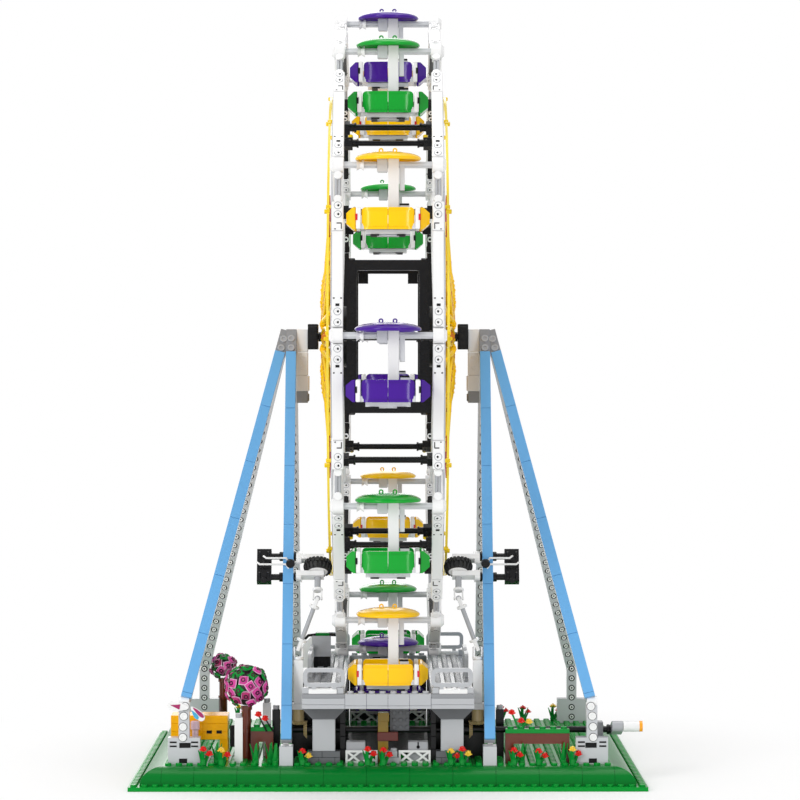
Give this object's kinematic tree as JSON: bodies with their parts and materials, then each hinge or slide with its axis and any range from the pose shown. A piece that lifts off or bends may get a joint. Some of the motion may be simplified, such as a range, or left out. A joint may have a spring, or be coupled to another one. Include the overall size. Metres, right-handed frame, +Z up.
{
  "type": "building block fairground wheel",
  "caption": "Upright fairground wheel of stud-type building blocks with level gondolas, turned by a hand crank through friction rollers.",
  "frame": {"origin": "centre of the base plate's underside, on the surface that the toy stands on", "axes": "+Z up, +X along the wheel's axle towards the crank, -Y towards the front of the platform"},
  "size_m": [0.384, 0.54, 0.5943],
  "materials": {
    "bright_green_abs": "gloss",
    "dark_green_abs": "gloss",
    "light_grey_abs": "gloss",
    "sky_blue_abs": "gloss",
    "mid_grey_abs": "gloss",
    "white_abs": "gloss",
    "brown_abs": "gloss",
    "pink_abs": "gloss",
    "red_abs": "gloss",
    "orange_abs": "gloss",
    "black_abs": "gloss",
    "yellow_abs": "gloss",
    "black_rubber": "matte",
    "tan_abs": "gloss",
    "purple_abs": "gloss",
    "gold_abs": "gloss",
    "green_abs": "gloss"
  },
  "bodies": {
    "stand": {"base_plate": "bright_green_abs", "base_slopes": "dark_green_abs", "base_deck": "bright_green_abs", "leg_beams": "light_grey_abs", "leg_tiles": "sky_blue_abs", "leg_feet": "light_grey_abs", "leg_heads": "mid_grey_abs", "hub_bearings": "light_grey_abs", "platform_pillars": "light_grey_abs", "platform_deck": "mid_grey_abs", "railings": "light_grey_abs", "garden_fence": "white_abs", "roller_brackets": "white_abs", "gearboxes": "white_abs", "control_box": "light_grey_abs", "garden_wood": "brown_abs", "tree_crowns": "pink_abs", "flowers": "red_abs", "stall": "orange_abs"},
    "wheel": {"rim_left": "white_abs", "rim_right": "white_abs", "spokes_left": "black_abs", "spokes_right": "black_abs", "cross_bars": "black_abs", "hub_frame": "black_abs", "hub_axle": "mid_grey_abs", "ornament_left": "yellow_abs", "ornament_right": "yellow_abs"},
    "gondola_01": {"gondola_01_frame": "white_abs", "gondola_01_shell": "purple_abs"},
    "gondola_02": {"gondola_02_frame": "white_abs", "gondola_02_shell": "gold_abs"},
    "gondola_03": {"gondola_03_frame": "white_abs", "gondola_03_shell": "green_abs"},
    "gondola_04": {"gondola_04_frame": "white_abs", "gondola_04_shell": "purple_abs"},
    "gondola_05": {"gondola_05_frame": "white_abs", "gondola_05_shell": "gold_abs"},
    "gondola_06": {"gondola_06_frame": "white_abs", "gondola_06_shell": "green_abs"},
    "gondola_07": {"gondola_07_frame": "white_abs", "gondola_07_shell": "purple_abs"},
    "gondola_08": {"gondola_08_frame": "white_abs", "gondola_08_shell": "gold_abs"},
    "gondola_09": {"gondola_09_frame": "white_abs", "gondola_09_shell": "green_abs"},
    "gondola_10": {"gondola_10_frame": "white_abs", "gondola_10_shell": "purple_abs"},
    "gondola_11": {"gondola_11_frame": "white_abs", "gondola_11_shell": "gold_abs"},
    "gondola_12": {"gondola_12_frame": "white_abs", "gondola_12_shell": "green_abs"},
    "roller_left": {"roller_left": "black_rubber"},
    "roller_right": {"roller_right": "black_rubber"},
    "shaft_left": {"shaft_left": "light_grey_abs"},
    "shaft_right": {"shaft_right": "light_grey_abs"},
    "gear_left": {"gear_left": "tan_abs"},
    "gear_right": {"gear_right": "tan_abs"},
    "crank": {"crank": "black_abs"},
    "crank_grip": {"crank_grip": "white_abs"}
  },
  "joints": [
    {"name": "wheel_spin", "type": "hinge", "parent": "stand", "child": "wheel", "pos_m": [0, 0, 0.336], "axis": [1, 0, 0], "continuous": true},
    {"name": "gondola_01_swing", "type": "hinge", "parent": "wheel", "child": "gondola_01", "pos_m": [0, -0.246, 0.336], "axis": [1, 0, 0], "continuous": true},
    {"name": "gondola_02_swing", "type": "hinge", "parent": "wheel", "child": "gondola_02", "pos_m": [0, -0.21304, 0.459], "axis": [1, 0, 0], "continuous": true},
    {"name": "gondola_03_swing", "type": "hinge", "parent": "wheel", "child": "gondola_03", "pos_m": [0, -0.123, 0.54904], "axis": [1, 0, 0], "continuous": true},
    {"name": "gondola_04_swing", "type": "hinge", "parent": "wheel", "child": "gondola_04", "pos_m": [0, 0, 0.582], "axis": [1, 0, 0], "continuous": true},
    {"name": "gondola_05_swing", "type": "hinge", "parent": "wheel", "child": "gondola_05", "pos_m": [0, 0.123, 0.54904], "axis": [1, 0, 0], "continuous": true},
    {"name": "gondola_06_swing", "type": "hinge", "parent": "wheel", "child": "gondola_06", "pos_m": [0, 0.21304, 0.459], "axis": [1, 0, 0], "continuous": true},
    {"name": "gondola_07_swing", "type": "hinge", "parent": "wheel", "child": "gondola_07", "pos_m": [0, 0.246, 0.336], "axis": [1, 0, 0], "continuous": true},
    {"name": "gondola_08_swing", "type": "hinge", "parent": "wheel", "child": "gondola_08", "pos_m": [0, 0.21304, 0.213], "axis": [1, 0, 0], "continuous": true},
    {"name": "gondola_09_swing", "type": "hinge", "parent": "wheel", "child": "gondola_09", "pos_m": [0, 0.123, 0.12296], "axis": [1, 0, 0], "continuous": true},
    {"name": "gondola_10_swing", "type": "hinge", "parent": "wheel", "child": "gondola_10", "pos_m": [0, 0, 0.09], "axis": [1, 0, 0], "continuous": true},
    {"name": "gondola_11_swing", "type": "hinge", "parent": "wheel", "child": "gondola_11", "pos_m": [0, -0.123, 0.12296], "axis": [1, 0, 0], "continuous": true},
    {"name": "gondola_12_swing", "type": "hinge", "parent": "wheel", "child": "gondola_12", "pos_m": [0, -0.21304, 0.213], "axis": [1, 0, 0], "continuous": true},
    {"name": "roller_left_spin", "type": "hinge", "parent": "stand", "child": "roller_left", "pos_m": [-0.0532, -0.1008, 0.16141], "axis": [0, -0.5, -0.866], "continuous": true},
    {"name": "roller_right_spin", "type": "hinge", "parent": "stand", "child": "roller_right", "pos_m": [0.0532, -0.1008, 0.16141], "axis": [0, -0.5, -0.866], "continuous": true},
    {"name": "shaft_left_spin", "type": "hinge", "parent": "stand", "child": "shaft_left", "pos_m": [-0.0532, -0.114, 0.13855], "axis": [-0.3519, 0.0489, -0.9347], "continuous": true},
    {"name": "shaft_right_spin", "type": "hinge", "parent": "stand", "child": "shaft_right", "pos_m": [0.0532, -0.114, 0.13855], "axis": [0.3519, 0.0489, -0.9347], "continuous": true},
    {"name": "gear_left_spin", "type": "hinge", "parent": "stand", "child": "gear_left", "pos_m": [-0.0676, -0.112, 0.0393], "axis": [0, 0, -1], "continuous": true},
    {"name": "gear_right_spin", "type": "hinge", "parent": "stand", "child": "gear_right", "pos_m": [0.0676, -0.112, 0.0393], "axis": [0, 0, -1], "continuous": true},
    {"name": "crank_spin", "type": "hinge", "parent": "stand", "child": "crank", "pos_m": [0.168, -0.112, 0.0393], "axis": [1, 0, 0], "continuous": true},
    {"name": "grip_spin", "type": "hinge", "parent": "crank", "child": "crank_grip", "pos_m": [0.1763, -0.12746, 0.04344], "axis": [1, 0, 0], "continuous": true}
  ],
  "couplings": [
    {"joint": "gondola_01_swing", "follows": "wheel_spin", "ratio": -1},
    {"joint": "gondola_02_swing", "follows": "wheel_spin", "ratio": -1},
    {"joint": "gondola_03_swing", "follows": "wheel_spin", "ratio": -1},
    {"joint": "gondola_04_swing", "follows": "wheel_spin", "ratio": -1},
    {"joint": "gondola_05_swing", "follows": "wheel_spin", "ratio": -1},
    {"joint": "gondola_06_swing", "follows": "wheel_spin", "ratio": -1},
    {"joint": "gondola_07_swing", "follows": "wheel_spin", "ratio": -1},
    {"joint": "gondola_08_swing", "follows": "wheel_spin", "ratio": -1},
    {"joint": "gondola_09_swing", "follows": "wheel_spin", "ratio": -1},
    {"joint": "gondola_10_swing", "follows": "wheel_spin", "ratio": -1},
    {"joint": "gondola_11_swing", "follows": "wheel_spin", "ratio": -1},
    {"joint": "gondola_12_swing", "follows": "wheel_spin", "ratio": -1},
    {"joint": "roller_left_spin", "follows": "wheel_spin", "ratio": -18},
    {"joint": "roller_right_spin", "follows": "wheel_spin", "ratio": 18},
    {"joint": "shaft_left_spin", "follows": "wheel_spin", "ratio": -18},
    {"joint": "shaft_right_spin", "follows": "wheel_spin", "ratio": 18},
    {"joint": "gear_left_spin", "follows": "wheel_spin", "ratio": -18},
    {"joint": "gear_right_spin", "follows": "wheel_spin", "ratio": 18},
    {"joint": "crank_spin", "follows": "wheel_spin", "ratio": -18}
  ]
}
